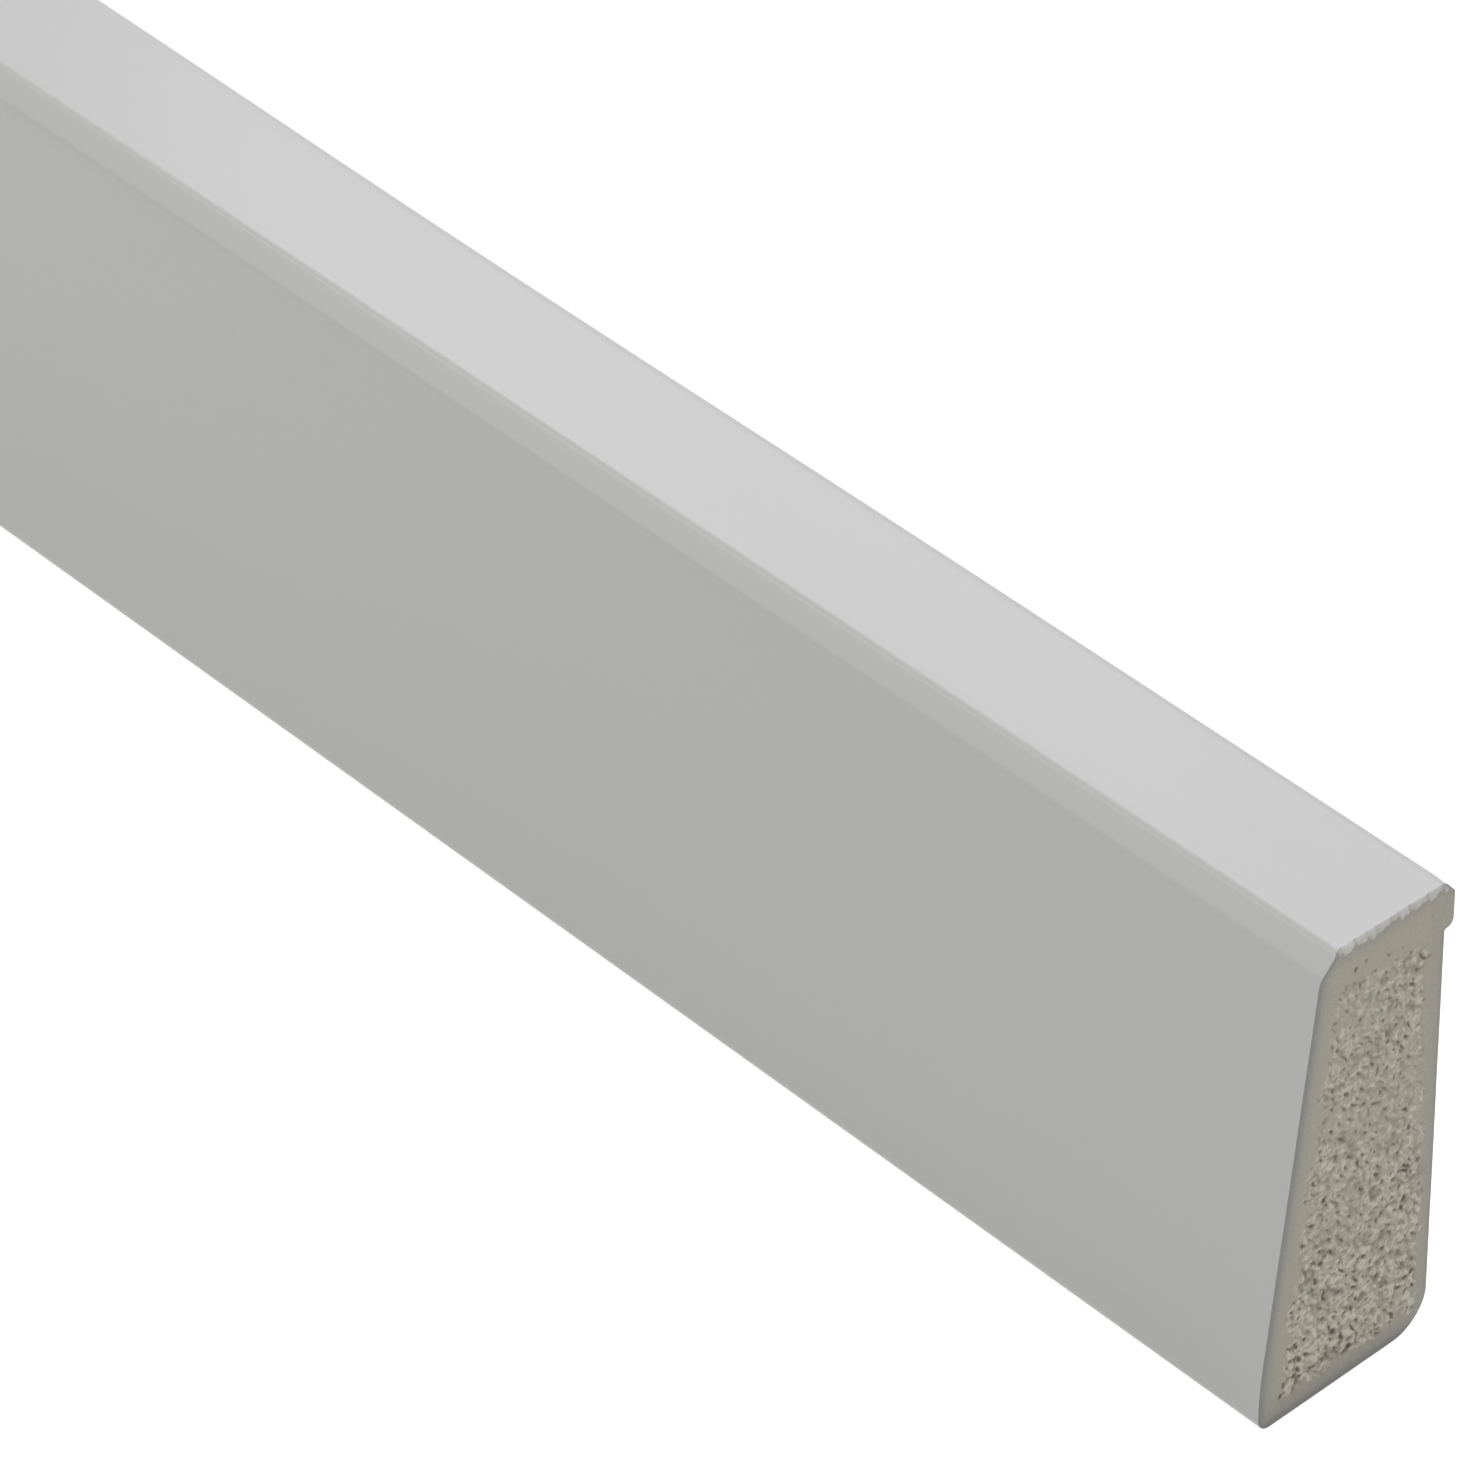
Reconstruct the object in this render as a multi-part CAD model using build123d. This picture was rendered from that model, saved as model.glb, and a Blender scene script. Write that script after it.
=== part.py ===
from build123d import *
import math
import os

# A length of foamed plastic skirting board, which is one extruded piece.
# X runs along the board, -Y is the room side, +Y is the wall side and +Z is up.
# The origin is on the floor, at the middle of the length and of the overall depth.
# Sizes are in millimetres and angles are in degrees.

# Stock
BOARD_LENGTH = 2400.0
BOARD_HEIGHT = 50.0
FOOT_DEPTH = 20.5  # from the foremost line of the foot to the wall face

# Front face: a short upright land above the toe, then a long straight lean towards the wall
TOE_RADIUS = 1.5
FOOT_LAND_HEIGHT = 0.3
FOOT_SWEEP_RADIUS = 45.0  # turns the upright land into the leaning face
FACE_LEAN = 7.3  # from upright

# Shoulder: the bevel under the flat top, blended into the face and tighter at the arris
SHOULDER_DROP = 2.0
SHOULDER_DEPTH = 2.2
SHOULDER_BLEND_RADIUS = 2.0
ARRIS_RADIUS = 0.6

# Lip: the bead along the top of the back that stands off the wall face
LIP_PROJECTION = 1.1
LIP_HEIGHT = 5.2
LIP_CHAMFER_DEPTH = 1.15
LIP_CHAMFER_DROP = 1.5
LIP_CORNER_RADIUS = 0.5
LIP_LOWER_RADIUS = 0.8
LIP_ROOT_RADIUS = 0.2
LIP_LOWER_SHARE = 0.75  # the most of the lip's underside that its outer round may take
LIP_ROOT_SHARE = 0.2  # the most of the lip's underside that its root fillet may take

# Heel: the large round where the wall face meets the underside
HEEL_RADIUS = 4.0


def section_corners():
    """The section's corners as (y, z, radius), up the front, over the top and down the back."""
    front_y = -(FOOT_DEPTH + LIP_PROJECTION) / 2
    wall_y = front_y + FOOT_DEPTH
    lip_y = wall_y + LIP_PROJECTION

    sweep_tangent = FOOT_SWEEP_RADIUS * math.tan(math.radians(FACE_LEAN / 2))
    sweep_z = TOE_RADIUS + FOOT_LAND_HEIGHT + sweep_tangent
    shoulder_z = BOARD_HEIGHT - SHOULDER_DROP
    shoulder_y = front_y + (shoulder_z - sweep_z) * math.tan(math.radians(FACE_LEAN))
    lip_bottom_z = BOARD_HEIGHT - LIP_HEIGHT
    lip_lower_radius = min(LIP_LOWER_RADIUS, LIP_LOWER_SHARE * LIP_PROJECTION)
    lip_root_radius = min(LIP_ROOT_RADIUS, LIP_ROOT_SHARE * LIP_PROJECTION)

    return [
        (front_y, 0, TOE_RADIUS),
        (front_y, sweep_z, FOOT_SWEEP_RADIUS),
        (shoulder_y, shoulder_z, SHOULDER_BLEND_RADIUS),
        (shoulder_y + SHOULDER_DEPTH, BOARD_HEIGHT, ARRIS_RADIUS),
        (lip_y - LIP_CHAMFER_DEPTH, BOARD_HEIGHT, LIP_CORNER_RADIUS),
        (lip_y, BOARD_HEIGHT - LIP_CHAMFER_DROP, LIP_CORNER_RADIUS),
        (lip_y, lip_bottom_z, lip_lower_radius),
        (wall_y, lip_bottom_z, lip_root_radius),
        (wall_y, 0, HEEL_RADIUS),
    ]


def make_skirting_board():
    """The section extruded half the length each way, which puts the origin at mid length."""
    corners = section_corners()
    with BuildPart() as board:
        with BuildSketch(Plane.YZ):
            with BuildLine():
                FilletPolyline(
                    [(y, z) for y, z, radius in corners],
                    radius=[radius for y, z, radius in corners],
                    close=True,
                )
            make_face()
        extrude(amount=BOARD_LENGTH / 2, both=True)
    return board.part


os.makedirs("parts", exist_ok=True)
export_step(make_skirting_board(), "parts/skirting_board.step")
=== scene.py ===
"""Skirting board: one length of foamed plastic moulding with a smooth skin and a cellular core.

The board stands on its foot along X, with -Y to the room, +Y to the wall and +Z up, in metres.
Its surface is the moulding's section carried along X, closed at each end by a sawn face.
"""

import math

import bpy
import numpy as np
from mathutils import Matrix, Vector


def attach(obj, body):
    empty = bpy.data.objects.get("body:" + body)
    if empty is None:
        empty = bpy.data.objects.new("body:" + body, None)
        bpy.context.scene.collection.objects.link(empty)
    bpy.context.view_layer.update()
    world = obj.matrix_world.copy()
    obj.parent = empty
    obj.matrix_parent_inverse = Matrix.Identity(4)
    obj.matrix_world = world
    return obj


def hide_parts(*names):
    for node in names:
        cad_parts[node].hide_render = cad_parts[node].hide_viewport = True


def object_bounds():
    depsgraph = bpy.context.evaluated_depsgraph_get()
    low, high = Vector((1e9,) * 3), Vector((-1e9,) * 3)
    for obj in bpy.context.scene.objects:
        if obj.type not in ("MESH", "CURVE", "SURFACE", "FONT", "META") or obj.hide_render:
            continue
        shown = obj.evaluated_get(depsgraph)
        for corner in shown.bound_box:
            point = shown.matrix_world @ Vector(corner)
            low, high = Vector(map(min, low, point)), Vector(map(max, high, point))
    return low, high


bl_info = {
    "name": "Skirting board",
    "version": (1, 0, 0),
    "blender": (4, 5, 0),
    "location": "3D View > Sidebar > Skirting",
    "description": "Makes a length of foamed skirting board and a plain studio round it",
    "category": "Add Mesh",
}

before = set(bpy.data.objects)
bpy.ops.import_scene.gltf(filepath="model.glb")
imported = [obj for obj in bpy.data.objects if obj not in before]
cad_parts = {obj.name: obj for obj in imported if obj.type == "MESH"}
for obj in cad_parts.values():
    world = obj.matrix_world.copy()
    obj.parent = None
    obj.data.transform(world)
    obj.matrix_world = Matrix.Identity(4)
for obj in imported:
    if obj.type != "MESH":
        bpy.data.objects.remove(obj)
CAD_LOW, CAD_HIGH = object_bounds()

MM = 0.001
NODE = "skirting_board"
BODY = "root"

# Section
ARRIS = 3  # row of the section's corners at which its front ends
ARC_POINTS = 24  # on each rounded corner

# Mesh of the sawn faces, with places as shares of the height or of the depth
FINE_ROWS = (0.92, 0.96)  # between which the rows close up
FINE_COLUMNS = (0.05, 0.12)  # between which the columns close up
FRONT_PITCH = 1.8  # spacing of the columns at the front, in grid pitches
MEAN_DEPTH = 0.82  # of the section
LEVEL_SAMPLES = 4000  # points at which a changing pitch is summed

# Mesh of the skin
RING_TURN = math.radians(5)  # largest turn between two points of a ring
RING_STEP = 1.3 * MM  # largest step between two points of a ring
SKIN_START = 0.6 * MM  # from the saw's plane to the ring with every point of the outline
FIRST_STEP = 1.0 * MM  # from there to the first coarser ring
STATION_PLACES = (0.25, 0.45)  # from the end, where the spacing of the rings changes
STATION_STEPS = (0.012, 0.014, 0.06, 0.06)  # at the first coarser ring, those places and mid length

# Wander of the lip's top corner
LONG_CREST, SHORT_CREST = 0.84, 0.455  # from the right end, in the wave's own pitches
LONG_MEAN = 0.8  # mean shift, as a share of the long wave
END_FADE = 3.0 * MM  # from each end to the full wander
TOP_FADE = (0.2, 0.95)  # shares of the corner's place between which the top starts to follow

# Noise
NOISE_SIDE = 64  # random values along each side of the lattice
NOISE_START = 1000  # steps of the lattice from its corner to the origin

# Foam cells, where a pair is the least and the most that a cell draws
CELL_SIDE = 128  # squares along each side of the lattice
CELL_DRAWS = 7  # two for its middle, then size, stretch, turn, presence and strength
CELL_MIDDLE = (0.1, 0.9)  # in its square
CELL_SIZE = (0.6, 1.35)  # in mean radii
CELL_SIZE_POWER = 1.5  # above 1, to make small cells commoner
CELL_STRETCH = (1.0, 2.4)
CELL_STRETCH_POWER = 2
CELL_NARROWING = 0.45  # power of its stretch by which a cell is narrower
CELL_PRESENCE = 0.85  # share of the squares with a cell
CELL_STRENGTH = (0.45, 1.0)
CELL_BOWL = 0.6  # power of its bowl, below 1 for steep walls

# Chips, where a pair is the least and the most that a chip draws
CHIP_COUNT = 64  # before they repeat
CHIP_DRAWS = 4  # middle, width, reach and painted shade
CHIP_MIDDLE = (0.15, 0.85)  # in its pitch
CHIP_WIDTH = (0.4, 0.75)  # half of it, in pitches
CHIP_REACH = (0.5, 1.0)
CHIP_PAINTED_SHADE = 0.5  # the most of its own painted shade, which stands in for how its facet is lit
CHIP_PAINTED_LIGHTENING = 0.25  # painted light added over half its width, as on a lit facet
NOTCH_PLACE = -0.6  # in half widths of its chip
NOTCH_WIDTH = 0.19
# painted shade that darkens each chip at its notch
NOTCH_PAINTED_SHADE = 0.7
NOTCH_SPLIT = 0.9  # share of a coarse chip's reach that its notch takes

# Foam, where a layer is the pitch and the strength of finer noise, as shares of the coarse one's
WANDER_PITCH = 1.5 * MM  # of the margins' inner edges
BEND_LAYER = (0.45, 0.5)
MARGIN_FADE = (-0.3 * MM, 0.7 * MM)  # from a margin's inner edge, between which the cells open
WALL_MARGIN_GROWS = (0.3, 0.8)  # shares of the height between which the wall's margin doubles
FOAM_CALMS = (0.1, 0.6)  # shares of the height between which the foam gets calmer
FOAM_OPENNESS = (1.17, 0.81)  # below them and above them
CALM_CHANGE = 0.2  # of the openness
HOLLOW_LAYER = (0.55, 0.6)
HOLLOW_DEEPEST = 0.9  # noise below 0 at which a hollow is deepest
RIDGE_LEVEL = 0.28  # noise along the middle of a torn wall
RIDGE_STRENGTH = 1.15  # before it is held at 1
RIDGE_FALL = 3.2  # loss of strength with the noise's distance from the level
SAW_PITCH = 6.0 * MM  # of the sawn face's long waves
SAW_LAYER = (0.35, 0.5)
SAW_MEAN = 0.5
SAW_SWING = 0.33
TINT_PITCH = 2.2 * MM
TINT_STRENGTH = (0.4, 1.0)  # in closed and in open foam
DENSE_FADE = (0.8 * MM, 2.6 * MM)  # from the outline, between which the dense foam's colour ends
HOLLOW_SHADE = 0.4  # painted shade in the hollows, as a share of a deep cell's

# Stray cells in the dense foam under the top, with the distances between which they come in
STRAY_PITCH = 2.0 * MM
STRAY_RADIUS = 0.25 * MM
STRAY_STRENGTH = 0.8
STRAY_UNDER_TOP = (2.0 * MM, 2.8 * MM)
STRAY_FROM_WALL = (0.8 * MM, 1.8 * MM)
STRAY_FROM_FRONT = (2.6 * MM, 3.6 * MM)
STRAY_HEIGHT = (0.6, 0.7)  # as shares of the whole height

# Broken skin along the top edge
FINE_CHIP_PITCH = 0.37  # as a share of the coarse chips'
COARSE_CHIPS, FINE_CHIPS, FRAY = 0.75, 0.3, 0.08  # shares in the ragged line
FRAY_PITCH = 0.4 * MM
DROP_SHARE = (0.22, 1.0)  # of the chips' drop, from the least to the most ragged place
RUN_MEAN, RUN_RAGGED, RUN_TORN = 0.75, 0.15, 0.4  # of the chips' run
RUN_LOSS = 0.7  # of the run, from the arris to the lip
RUN_POWER = 1.3  # above 1, to turn back more steeply at the top
PAINTED_LIGHT_MEAN, PAINTED_LIGHT_COARSE, PAINTED_LIGHT_FINE = 0.25, 0.5, 0.2  # of the painted light and shade on the broken skin's facets
PAINTED_LIGHT_SHARE = (0.55, 1.0)  # share of the painted light at the least ragged place and elsewhere
PAINTED_LIGHT_RAGGED = 0.35  # raggedness from which the painted light is full
SKIN_FADE = 0.15  # share of the drop over which the broken skin comes in
ARRIS_NOTCH_DROP = 0.3 * MM  # from the arris down to the middle of a dark spot
ARRIS_NOTCH_WIDTH = 0.35 * MM
ARRIS_NOTCH_LOSS = 0.8  # of the broken skin, in the notch

# Lines along the edges of a sawn face, as width and strength, with painted shade and painted light among them
FRONT_LINE = (0.75 * MM, 1.0)
WALL_LINE = (0.5 * MM, 0.4)
FLOOR_LINE = (1.0 * MM, 1.25)
# painted shade, darker towards the underside of the cut
FLOOR_SHADE = (2.6 * MM, 0.5)
# dense skin seen in section under the chips, with painted shadow under them
CHIP_LINE_AND_SHADOW = (0.7 * MM, 0.3)
# painted light along the top of the broken skin, where its facets catch the light
PAINTED_TOP_LIGHT = (0.3 * MM, 0.3)
# painted shade along the lip's chamfer
CHAMFER_SHADE_WIDTH = 0.26 * MM
CHAMFER_SHADE_STRENGTH = 0.75

# Materials, with the ranges over which a blend goes from end to end
LINE_STRETCH = (0.01, 1, 1)  # along the board
PATCH_STRETCH = (0.3, 1, 1)
PATCH_TONE = (0.3, 0.75)
PATCH_GLOSS = (0.2, 0.8)
TINT_BLEND = (-0.5, 0.5)
WALL_BLEND = (0.1, 0.9)
CELL_BLEND = (0.0, 0.8)
GRAIN_BLEND = (0.3, 0.7)
GRAIN_DETAIL = 3.0
GRAIN_SHADE = 0.1

# Studio
IMAGE_SIDE = 1460  # pixels of the square photograph
SENSOR_WIDTH = 36.0  # millimetres
CLIP_NEAR, CLIP_FAR = 0.01, 100.0
FLOOR_REACH = 60.0
LIGHT_TARGET = (1.1, 0, 0.05)  # on the board's top, near the right end
LIGHT_SIDE = (0.97, 0.242, 0)  # long side of the lights behind the board


def length(name, description, default):
    """A size in metres that the user can change."""
    return bpy.props.FloatProperty(
        name=name, description=description, default=default, min=0.0, precision=5, unit="LENGTH"
    )


def number(name, description, default):
    """A plain number from 0 up that the user can change."""
    return bpy.props.FloatProperty(name=name, description=description, default=default, min=0.0, precision=4)


def angle(name, description, degrees):
    """An angle that the user can change, given here in degrees."""
    return bpy.props.FloatProperty(
        name=name, description=description, default=math.radians(degrees), unit="ROTATION"
    )


def colour(name, description, default):
    """A linear colour that the user can change."""
    return bpy.props.FloatVectorProperty(
        name=name, description=description, default=default, size=3, min=0.0, max=1.0, subtype="COLOR"
    )


def count(name, description, default):
    """A whole number that the user can change."""
    return bpy.props.IntProperty(name=name, description=description, default=default, min=0)


class SkirtingProfile(bpy.types.PropertyGroup):
    """The moulding's cross-section, with the slow wander of its lip along the board."""

    toe_radius: length("Toe radius", "Round at the front of the foot", 1.5 * MM)
    foot_land: length("Foot land", "Upright strip above the toe", 0.3 * MM)
    foot_sweep: length("Foot sweep radius", "Arc from the upright strip to the leaning face", 45.0 * MM)
    face_lean: angle("Face lean", "Lean of the front face from upright", 7.3)
    shoulder_drop: length("Shoulder drop", "Height of the bevel under the top", 2.05 * MM)
    shoulder_depth: length("Shoulder depth", "Depth of the bevel under the top", 2.07 * MM)
    shoulder_blend: length("Shoulder blend radius", "Arc from the face to the bevel", 1.6 * MM)
    arris_radius: length("Arris radius", "Small round between the bevel and the top", 0.8 * MM)
    lip_projection: length("Lip projection", "How far the lip stands off the wall face", 1.1 * MM)
    lip_height: length("Lip height", "From the top to the lip's underside", 5.2 * MM)
    lip_chamfer_depth: length("Lip chamfer depth", "Level size of the lip's top chamfer", 1.15 * MM)
    lip_chamfer_drop: length("Lip chamfer drop", "Upright size of the lip's top chamfer", 1.5 * MM)
    lip_edge: length("Lip edge radius", "Worn round between the top and the lip's chamfer", 1.1 * MM)
    lip_corner: length("Lip corner radius", "Round at the lower end of the chamfer", 0.5 * MM)
    lip_lower: length("Lip lower radius", "Round under the lip", 0.8 * MM)
    lip_root: length("Lip root radius", "Fillet between the lip and the wall face", 0.2 * MM)
    heel_radius: length("Heel radius", "Round from the wall face to the underside", 4.0 * MM)
    long_wave: length("Long wave", "How far the lip's top corner wanders in long waves", 0.36 * MM)
    long_wave_pitch: length("Long wave pitch", "Length of a long wave", 198.0 * MM)
    short_wave: length("Short wave", "How far the lip's top corner wanders in short waves", 0.3 * MM)
    short_wave_pitch: length("Short wave pitch", "Length of a short wave", 138.0 * MM)


class SawnEnd(bpy.types.PropertyGroup):
    """The two cut ends: foam cells, dense margins and the broken skin along the top."""

    grid_pitch: length("Grid pitch", "Mesh spacing across the cut", 0.155 * MM)
    top_grid_pitch: length("Top grid pitch", "Mesh spacing close to the top edge", 0.1 * MM)
    cell_pitch: length("Cell pitch", "Spacing of the deep foam cells", 1.1 * MM)
    cell_radius: length("Cell radius", "Mean radius of the deep foam cells", 0.26 * MM)
    cell_depth: length("Cell depth", "Depth of the deep foam cells", 0.19 * MM)
    hollow_pitch: length("Hollow pitch", "Spacing of the shallow hollows", 0.52 * MM)
    hollow_depth: length("Hollow depth", "Depth of the shallow hollows", 0.08 * MM)
    ridge_height: length("Ridge height", "Height of the torn walls round the hollows", 0.035 * MM)
    stretch: number("Stretch", "How much longer than wide the foam's shapes are", 2.2)
    stretch_angle: angle("Stretch angle", "Direction of the foam's shapes, from +Y towards +Z", 128.0)
    calm_pitch: length("Calm pitch", "Spacing of the calmer and busier patches", 3.2 * MM)
    warp: length("Warp", "How far the foam's shapes are bent", 0.2 * MM)
    warp_pitch: length("Warp pitch", "Spacing of the bends", 1.1 * MM)
    front_margin: length("Front margin", "Dense foam behind the front face", 2.4 * MM)
    back_margin: length("Back margin", "Dense foam inside the wall face", 1.0 * MM)
    top_margin: length("Top margin", "Dense foam under the top, at mid depth", 4.2 * MM)
    top_margin_slope: number("Top margin slope", "Growth of the top margin towards the wall", 0.15)
    bottom_margin: length("Bottom margin", "Dense foam over the underside", 2.0 * MM)
    margin_wander: length("Margin wander", "How far the margins' inner edges wander", 0.6 * MM)
    chip_drop: length("Chip drop", "How far the broken skin reaches down the cut", 1.18 * MM)
    chip_run: length("Chip run", "How far the broken skin reaches along the board", 0.38 * MM)
    chip_pitch: length("Chip pitch", "Spacing of the chips along the top edge", 1.7 * MM)
    unevenness: length("Unevenness", "Long waves of the sawn face", 0.05 * MM)
    right_seed: count("Right end seed", "Pattern of the end at +X", 11)
    left_seed: count("Left end seed", "Pattern of the end at -X", 29)


class BoardFinish(bpy.types.PropertyGroup):
    """Colours, gloss and fine grain."""

    skin: colour("Skin", "Smooth outer skin", (0.603, 0.605, 0.594))
    skin_patch: colour("Skin patch", "Slightly different patches of the skin", (0.596, 0.598, 0.588))
    core: colour("Core", "Foam between the cells", (0.60, 0.548, 0.452))
    core_tint: colour("Core tint", "Cooler patches of the foam", (0.585, 0.558, 0.466))
    dense: colour("Dense foam", "Margin without cells", (0.55, 0.533, 0.463))
    # also the colour of the painted shade near the underside, under the chips and along the chamfer
    edge_line_and_shade: colour("Edge line", "Skin seen in section", (0.385, 0.38, 0.368))
    # darker and browner than the foam, its darkness partly painted shade in the cells
    cell_inside_and_shade: colour("Cell inside", "Inside of the cut cells", (0.22, 0.195, 0.15))
    # paler than the foam as painted light caught by the torn rims
    cell_wall_and_highlight: colour("Cell wall", "Torn rims of the cells", (0.82, 0.77, 0.66))
    # lighter than the skin as painted light on the chips' upturned facets
    broken_skin_and_facet_light: colour("Broken skin", "Chipped strip along the top edge", (0.80, 0.80, 0.78))
    grain: colour("Grain", "Dark specks of the cut", (0.0, 0.0, 0.0))
    skin_roughness: number("Skin roughness", "Mean roughness of the skin", 0.245)
    gloss_change: number("Gloss change", "How far the skin's roughness strays from its mean", 0.022)
    core_roughness: number("Core roughness", "Roughness of the cut", 0.9)
    skin_specular: number("Skin specular", "Strength of the skin's highlights", 0.5)
    core_specular: number("Core specular", "Strength of the cut's highlights", 0.2)
    line_scale: number("Line scale", "Fineness of the lines along the skin", 700.0)
    peel_scale: number("Peel scale", "Fineness of the skin's orange peel", 1100.0)
    patch_scale: number("Patch scale", "Fineness of the skin's patches", 30.0)
    grain_scale: number("Grain scale", "Fineness of the cut's grain", 4200.0)
    skin_bump: number("Skin bump", "Strength of the skin's lines and orange peel", 0.25)
    skin_bump_depth: length("Skin bump depth", "Depth of the skin's lines and orange peel", 0.004 * MM)
    core_bump: number("Core bump", "Strength of the cut's grain", 0.4)
    core_bump_depth: length("Core bump depth", "Depth of the cut's grain", 0.03 * MM)


class Studio(bpy.types.PropertyGroup):
    """Camera, light and floor."""

    focal_px: number("Focal length", "Focal length in pixels of the photograph", 8256.0)
    azimuth: angle("Azimuth", "Camera direction round the board, from -Y to +X", 48.16)
    elevation: angle("Elevation", "Camera height over the horizon", 39.78)
    roll: angle("Roll", "Turn of the camera about its own axis", -1.21)
    distance_x: length("Camera X", "From the right end to the camera along X", 344.77 * MM)
    distance_y: length("Camera Y", "From the section's middle to the camera towards the room", 378.19 * MM)
    distance_z: length("Camera Z", "Camera height", 497.31 * MM)
    sky: number("Sky", "Even light from all round", 0.6)
    strip_watts: number("Strip light", "Narrow light behind, mirrored in the top", 1.03)
    back_watts: number("Back light", "Low light behind, mirrored in the lip's edge", 0.6)
    low_room_watts: number("Low room light", "Soft light from the room side", 0.36)
    high_room_watts: number("High room light", "Soft light mirrored in the bevel", 0.58)
    top_watts: number("Top light", "Small soft light over the wall side", 0.55)
    cool_tint: colour("Cool tint", "Colour of the lights over the top", (0.952, 0.946, 1.0))
    warm_tint: colour("Warm tint", "Colour of the lights on the room side", (1.0, 1.0, 0.93))
    floor: colour("Floor", "Colour of the floor", (0.73, 0.73, 0.717))
    floor_glow: number("Floor glow", "Light added to the floor where it is seen or mirrored", 0.76)


def between(low, high, share):
    """The value at a share of the way from low to high: low + (high - low) * share."""
    return low + (high - low) * share


def smooth(low, high, value):
    """Smoothstep: 0 below low, 1 above high, and 3t^2 - 2t^3 between."""
    t = np.clip((value - low) / (high - low), 0, 1)
    return t * t * (3 - 2 * t)


def line(distance, width, strength=1.0):
    """A soft line where the distance is 0: strength * exp(-(distance / width)^2)."""
    return strength * np.exp(-((distance / width) ** 2))


def section_corners(profile):
    """The section's corners as rows of (y, z, radius), up the front, over the top and down the back.

    The face leans from the corner of the foot's sweep, whose tangents are radius * tan(lean / 2) long."""
    front = CAD_LOW.y
    lip = CAD_HIGH.y
    top = CAD_HIGH.z
    wall = lip - profile.lip_projection
    lean = math.tan(profile.face_lean)
    sweep = profile.toe_radius + profile.foot_land + profile.foot_sweep * math.tan(profile.face_lean / 2)
    shoulder_z = top - profile.shoulder_drop
    shoulder_y = front + (shoulder_z - sweep) * lean
    under_lip = top - profile.lip_height
    return np.array([
        (front, 0.0, profile.toe_radius),
        (front, sweep, profile.foot_sweep),
        (shoulder_y, shoulder_z, profile.shoulder_blend),
        (shoulder_y + profile.shoulder_depth, top, profile.arris_radius),
        (lip - profile.lip_chamfer_depth, top, profile.lip_edge),
        (lip, top - profile.lip_chamfer_drop, profile.lip_corner),
        (lip, under_lip, profile.lip_lower),
        (wall, under_lip, profile.lip_root),
        (wall, 0.0, profile.heel_radius),
    ])


def corner_arc(before, corner, after, radius):
    """The arc that rounds a corner: its centre is radius / sin(half the angle) along the bisector."""
    back = (before - corner) / np.linalg.norm(before - corner)
    ahead = (after - corner) / np.linalg.norm(after - corner)
    half = math.acos(np.clip(back @ ahead, -1, 1)) / 2
    bisector = (back + ahead) / np.linalg.norm(back + ahead)
    centre = corner + bisector * radius / math.sin(half)
    first = corner + back * radius / math.tan(half) - centre
    last = corner + ahead * radius / math.tan(half) - centre
    start = math.atan2(first[1], first[0])
    turn = (math.atan2(last[1], last[0]) - start + math.pi) % (2 * math.pi) - math.pi
    t = start + turn * np.linspace(0, 1, ARC_POINTS)
    return centre + radius * np.stack([np.cos(t), np.sin(t)], 1)


def section_chains(profile):
    """The rounded section as two chains of (y, z) points from the underside up: the front and the back."""
    corners = section_corners(profile)
    points, radii = corners[:, :2], corners[:, 2]
    before, after = np.roll(points, 1, 0), np.roll(points, -1, 0)
    arcs = [corner_arc(*corner) for corner in zip(before, points, after, radii)]
    return np.concatenate(arcs[:ARRIS + 1]), np.concatenate(arcs[ARRIS + 1:])[::-1]


def points_along(chain, share):
    """Points at the given shares, from 0 to 1, of a chain's own length."""
    run = np.concatenate([[0], np.cumsum(np.linalg.norm(np.diff(chain, axis=0), axis=1))])
    return np.stack([np.interp(share * run[-1], run, chain[:, k]) for k in (0, 1)], -1)


def graded_levels(places, pitches):
    """Levels from the first place to the last whose spacing follows the pitches given at the places.

    The steps passed are the running sum of 1 / pitch. The levels part it into equal shares, as many as
    the sum rounded up."""
    fine = np.linspace(places[0], places[-1], LEVEL_SAMPLES)
    rate = 1 / np.interp(fine, places, pitches)
    passed = np.concatenate([[0], np.cumsum((rate[1:] + rate[:-1]) / 2 * np.diff(fine))])
    return np.interp(np.linspace(0, passed[-1], math.ceil(passed[-1]) + 1), passed, fine)


def soft_noise(y, z, pitch, random):
    """Smooth noise from -1 to 1: random values on a square lattice, blended between by smoothstep."""
    table = random.uniform(-1, 1, (NOISE_SIDE, NOISE_SIDE))
    a, b = y / pitch + NOISE_START, z / pitch + NOISE_START
    i, j = np.floor(a).astype(int), np.floor(b).astype(int)
    s, t = smooth(0, 1, a - i), smooth(0, 1, b - j)
    i, j, i_next, j_next = (k % NOISE_SIDE for k in (i, j, i + 1, j + 1))
    low = between(table[i, j], table[i_next, j], s)
    high = between(table[i, j_next], table[i_next, j_next], s)
    return between(low, high, t)


def layered_noise(y, z, pitch, finer, strength, random):
    """Soft noise plus the given strength of finer soft noise, at the share finer of the pitch."""
    return soft_noise(y, z, pitch, random) + strength * soft_noise(y, z, finer * pitch, random)


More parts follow.
